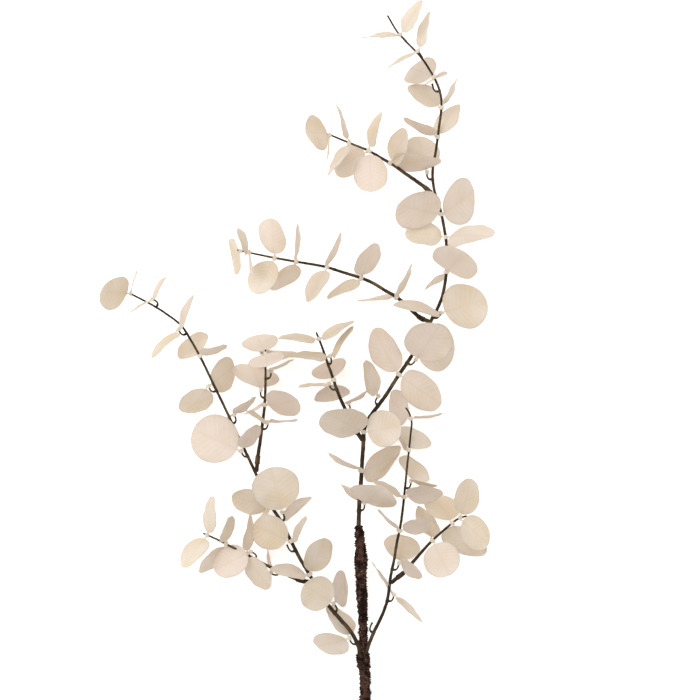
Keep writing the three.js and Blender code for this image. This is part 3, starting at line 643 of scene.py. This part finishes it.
def leaf_fabric():
    """Printed leaf cloth: cream and beige washed with pink and ochre, a greyer rim, paler veins that
    follow the blade's UV map, and a fine weave. Light passes through it a little."""
    material, tree, shader = new_material("leaf_fabric")
    where = object_space(tree)
    uv = node(tree, "ShaderNodeUVMap", {"uv_map": "UVMap"})
    split = tree.nodes.new("ShaderNodeSeparateXYZ")
    feed(tree, split.inputs[0], uv)
    along = Shader(tree, split.outputs[0])
    across = (Shader(tree, split.outputs[1]) * 2.0 - 1.0).math("ABSOLUTE")
    tint = tree.nodes.new("ShaderNodeAttribute")
    tint.attribute_name = "tint"
    channels = tree.nodes.new("ShaderNodeSeparateColor")
    tree.links.new(tint.outputs["Color"], channels.inputs[0])
    pink, ochre, dark = [Shader(tree, out) for out in channels.outputs]

    broad = noise(tree, where, 38.0, 3.0, 0.55)
    patches = noise(tree, where, 60.0, 4.0, 0.6, 3.0)
    colour = blend(tree, (0.80, 0.73, 0.64), (0.72, 0.62, 0.48), broad.between(0.35, 0.7))
    colour = blend(tree, colour, (0.82, 0.70, 0.66), pink * patches.between(0.2, 0.75))
    colour = blend(tree, colour, (0.74, 0.61, 0.40), ochre * broad.between(0.25, 0.75))
    veins = (across * -VEIN_SWEEP + along * SIDE_VEINS) * (2.0 * math.pi)
    side_veins = veins.math("COSINE").between(0.72, 1.0) * across.between(0.02, 0.2)
    midrib = 1.0 - across.between(0.01, 0.10)
    colour = blend(tree, colour, (0.88, 0.82, 0.74), side_veins * 0.45)
    colour = blend(tree, colour, (0.66, 0.53, 0.41), midrib * 0.22)
    rim = (across + 0.12 * patches).between(0.86, 1.04)
    colour = blend(tree, colour, (0.70, 0.62, 0.56), rim * 0.6)
    colour = blend(tree, colour, (0.30, 0.22, 0.16), dark.math("MAXIMUM", 0.0))
    colour = blend(tree, colour, (0.86, 0.78, 0.67), (dark * -1.0).math("MAXIMUM", 0.0))
    feed(tree, shader.inputs["Base Color"], colour)
    shader.inputs["Roughness"].default_value = 0.72
    shader.inputs["Sheen Weight"].default_value = 0.15
    shader.inputs["Specular IOR Level"].default_value = 0.3
    weave = noise(tree, where, 1500.0, 2.0, 0.6)
    relief = weave * 0.35 + side_veins * 0.6 + midrib * 0.8
    feed(tree, shader.inputs["Normal"], bump(tree, relief, 0.00025, 0.6))
    glow = tree.nodes.new("ShaderNodeBsdfTranslucent")
    glow.inputs["Color"].default_value = (0.91, 0.85, 0.77, 1.0)
    both = tree.nodes.new("ShaderNodeMixShader")
    both.inputs[0].default_value = 0.38
    tree.links.new(shader.outputs[0], both.inputs[1])
    tree.links.new(glow.outputs[0], both.inputs[2])
    tree.links.new(both.outputs[0], tree.nodes["Material Output"].inputs["Surface"])
    return material


def twig_plastic():
    """Moulded twig: dark olive brown with paler worn patches and a fine grain."""
    material, tree, shader = new_material("twig_plastic")
    where = object_space(tree)
    broad = noise(tree, where, 45.0, 3.0, 0.6, 1.0)
    fine = noise(tree, where, 420.0, 4.0, 0.6, 2.0)
    colour = blend(tree, (0.026, 0.015, 0.004), (0.105, 0.070, 0.034), broad.between(0.45, 0.68))
    colour = blend(tree, colour, (0.17, 0.12, 0.07), fine.between(0.58, 0.80) * 0.45)
    feed(tree, shader.inputs["Base Color"], colour)
    feed(tree, shader.inputs["Roughness"], 0.5 + 0.25 * fine)
    shader.inputs["Specular IOR Level"].default_value = 0.2
    feed(tree, shader.inputs["Normal"], bump(tree, fine + broad, 0.0004, 0.7))
    return material


def bark_wrap():
    """Wrapped bark: maroon brown, crumbly, with pale pinkish flecks on its high spots."""
    material, tree, shader = new_material("bark_wrap")
    where = object_space(tree)
    broad = noise(tree, where, 130.0, 4.0, 0.6, 5.0)
    crumbs = noise(tree, where, 520.0, 4.0, 0.65, 6.0)
    colour = blend(tree, (0.012, 0.005, 0.003), (0.085, 0.040, 0.027), broad.between(0.42, 0.62))
    colour = blend(tree, colour, (0.36, 0.23, 0.19), crumbs.between(0.54, 0.68) * broad.between(0.42, 0.58))
    feed(tree, shader.inputs["Base Color"], colour)
    shader.inputs["Roughness"].default_value = 0.9
    shader.inputs["Specular IOR Level"].default_value = 0.15
    feed(tree, shader.inputs["Normal"], bump(tree, crumbs + broad, 0.0008, 0.9))
    return material


# ---------------------------------------------------------------- the branch
class Piece:
    """One object to be: its name, its slot (not used), its material, and the node that it replaces, if any.
    Leaves joined to their stem's node have none, because the stem's piece already replaces it."""

    def __init__(self, name, slot, material, node_name):
        self.name = name
        self.slot = slot
        self.material = material
        self.node_name = node_name
        self.skin = Skin()


def pick_tint():
    """How pink, how ochre and how dark one leaf is."""
    kind = chance.uniform()
    pink = chance.uniform(0.1, 0.9) if kind < 0.6 else 0.1
    ochre = chance.uniform(0.3, 0.8) if kind > 0.55 else chance.uniform(0.0, 0.25)
    return pink, ochre, max(chance.uniform(-0.06, 0.10), 0.0)


def draw_branch(cloth, plastic, bark):
    """Every piece of the branch in the drawing's own frame."""
    pieces = []
    for name, stem in STEMS.items():
        stem["line"] = smooth_line(stem["route"])
        stem["foot"] = sink(stem["line"])
        twig = Piece("twig_" + name if not name.startswith("twig") else name + "_stem", "twig", plastic, name)
        fused = Piece("end_leaves_" + name, "leaf_fabric", cloth, None)
        stations = []
        for row, (station, clock, leaves, *joined) in enumerate(stem["rows"], start=1):
            seat = place(stem, station)
            stations.append(seat["distance"])
            if clock is not None:
                seat = prong(twig.skin, seat, clock)
            if not leaves:
                continue
            if joined or len(leaves) == 1:
                sprig = fused
            else:
                node_name = "leaves_%s_%d" % (name, row)
                sprig = Piece("sprig_%s_%d" % (name, row), "leaf_fabric", cloth, node_name)
                pieces.append(sprig)
            ring(sprig.skin, seat)
            for spec in leaves:
                leaf(sprig.skin, seat, spec, pick_tint())
        stem_tube(twig.skin, stem, stations)
        if stem.get("plugged"):
            socket(twig.skin, stem)
        pieces.append(twig)
        if fused.skin.count:
            pieces.append(fused)

    lower = Piece("bark_wrap_lower", "bark", bark, "bark_sleeve_lower")
    sleeve(lower.skin, [[5, CUT_END, 6.8], [4, -100, 12], [3, -49, 20], [1, FORK, 29]],
           LOWER_SLEEVE, 50)
    for limb, foot in (("limb_d", [-3, -14, 30]), ("limb_e", [4, -14, 31])):
        x, y, z = STEMS[limb]["route"][0]
        sleeve(lower.skin, [foot, [x, y - CROTCH_GAP, z]], CROTCH, 60)
    pieces.append(lower)
    upper = Piece("bark_wrap_upper", "bark", bark, "bark_sleeve_upper")
    sleeve(upper.skin, [[0, FORK - 3, 29], [0, 43, 30], [-2, 89, 31], [-3, 129, 33], [-5, 151, 34]],
           UPPER_SLEEVE, 70)
    pieces.append(upper)
    return pieces


def find_place(pieces):
    """Where the drawing's origin lies in the frame, in metres: the middle value, over the pieces that stand
    for one node each, of the step from a piece's own box to its node's box."""
    steps = []
    for piece in pieces:
        if piece.node_name and piece.node_name.startswith("leaves"):
            points = piece.skin.all_points() * MM
            low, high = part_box(piece.node_name)
            steps.append(0.5 * (np.array(low) + np.array(high)) - 0.5 * (points.min(0) + points.max(0)))
    return np.median(np.array(steps), axis=0)


def make_object(piece, place_of_origin):
    """Turns a piece's skin into a mesh object in metres, resting on the ground."""
    skin = piece.skin
    points = skin.all_points() * MM + place_of_origin
    points[:, 2] = np.maximum(points[:, 2], 0.0)
    quads = np.vstack(skin.quads)
    triangles = np.vstack(skin.triangles) if skin.triangles else np.zeros((0, 3), int)
    mesh = bpy.data.meshes.new(piece.name)
    mesh.from_pydata(points.tolist(), [], quads.tolist() + triangles.tolist())
    corner_uvs = [np.vstack(skin.quad_uvs).reshape(-1, 2)]
    if skin.triangles:
        corner_uvs.append(np.vstack(skin.triangle_uvs).reshape(-1, 2))
    layer = mesh.uv_layers.new(name="UVMap")
    layer.data.foreach_set("uv", np.vstack(corner_uvs).ravel())
    tint = mesh.color_attributes.new("tint", "FLOAT_COLOR", "POINT")
    tints = np.hstack([np.vstack(skin.tints), np.ones((skin.count, 1))])
    tint.data.foreach_set("color", tints.ravel())
    mesh.polygons.foreach_set("use_smooth", np.ones(len(mesh.polygons), bool))
    mesh.materials.append(piece.material)
    mesh.validate()
    made = bpy.data.objects.new(piece.name, mesh)
    bpy.context.scene.collection.objects.link(made)
    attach(made, "root")
    if piece.node_name:
        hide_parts(piece.node_name)
    return made


# ---------------------------------------------------------------- stage
VIEW_CENTRE = (-14.95, 353.0)
VIEW_HEIGHT = 4000.0
VIEW_PLANE = 45.0
VIEW_WIDTH = 805.0


def make_camera(origin):
    """Looks straight down on the middle of the branch."""
    data = bpy.data.cameras.new("camera")
    camera = bpy.data.objects.new("camera", data)
    bpy.context.scene.collection.objects.link(camera)
    data.sensor_fit = "HORIZONTAL"
    data.angle = 2.0 * math.atan(0.5 * VIEW_WIDTH / VIEW_HEIGHT)
    data.clip_end = 20.0
    camera.location = Vector((VIEW_CENTRE[0] * MM + origin[0], VIEW_CENTRE[1] * MM + origin[1],
                              (VIEW_HEIGHT + VIEW_PLANE) * MM + origin[2]))
    camera.rotation_euler = (0.0, 0.0, 0.0)
    bpy.context.scene.camera = camera


def make_ground():
    """A plain white ground."""
    mesh = bpy.data.meshes.new("ground")
    size = 6.0
    mesh.from_pydata([(-size, -size, -0.0005), (size, -size, -0.0005), (size, size, -0.0005),
                      (-size, size, -0.0005)], [], [(0, 1, 2, 3)])
    ground = bpy.data.objects.new("ground", mesh)
    bpy.context.scene.collection.objects.link(ground)
    material, tree, shader = new_material("ground")
    shader.inputs["Base Color"].default_value = (0.9, 0.9, 0.9, 1.0)
    shader.inputs["Roughness"].default_value = 1.0
    shader.inputs["Emission Color"].default_value = (1.0, 1.0, 1.0, 1.0)
    shader.inputs["Emission Strength"].default_value = 0.45
    mesh.materials.append(material)


def make_lights():
    """One wide soft lamp overhead and an even white surround."""
    world = bpy.data.worlds.new("surround")
    bpy.context.scene.world = world
    world.use_nodes = True
    world.node_tree.nodes["Background"].inputs["Color"].default_value = (1.0, 1.0, 1.0, 1.0)
    world.node_tree.nodes["Background"].inputs["Strength"].default_value = 0.8
    data = bpy.data.lights.new("overhead", "AREA")
    data.energy = 28.0
    data.size = 1.6
    lamp = bpy.data.objects.new("overhead", data)
    bpy.context.scene.collection.objects.link(lamp)
    lamp.location = (-0.7, 0.8, 2.0)
    lamp.rotation_euler = Vector((-0.7, 0.8, 2.0)).to_track_quat("Z", "Y").to_euler()


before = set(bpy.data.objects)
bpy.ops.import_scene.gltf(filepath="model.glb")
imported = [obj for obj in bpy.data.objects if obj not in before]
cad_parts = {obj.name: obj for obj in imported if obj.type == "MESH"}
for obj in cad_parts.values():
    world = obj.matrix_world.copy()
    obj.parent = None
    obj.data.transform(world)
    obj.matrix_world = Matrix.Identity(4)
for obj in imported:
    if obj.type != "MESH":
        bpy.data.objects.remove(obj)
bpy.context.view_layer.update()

pieces = draw_branch(leaf_fabric(), twig_plastic(), bark_wrap())
origin = find_place(pieces)
for piece in pieces:
    make_object(piece, origin)
make_camera(origin)
make_ground()
make_lights()
bpy.context.scene.view_settings.view_transform = "Standard"
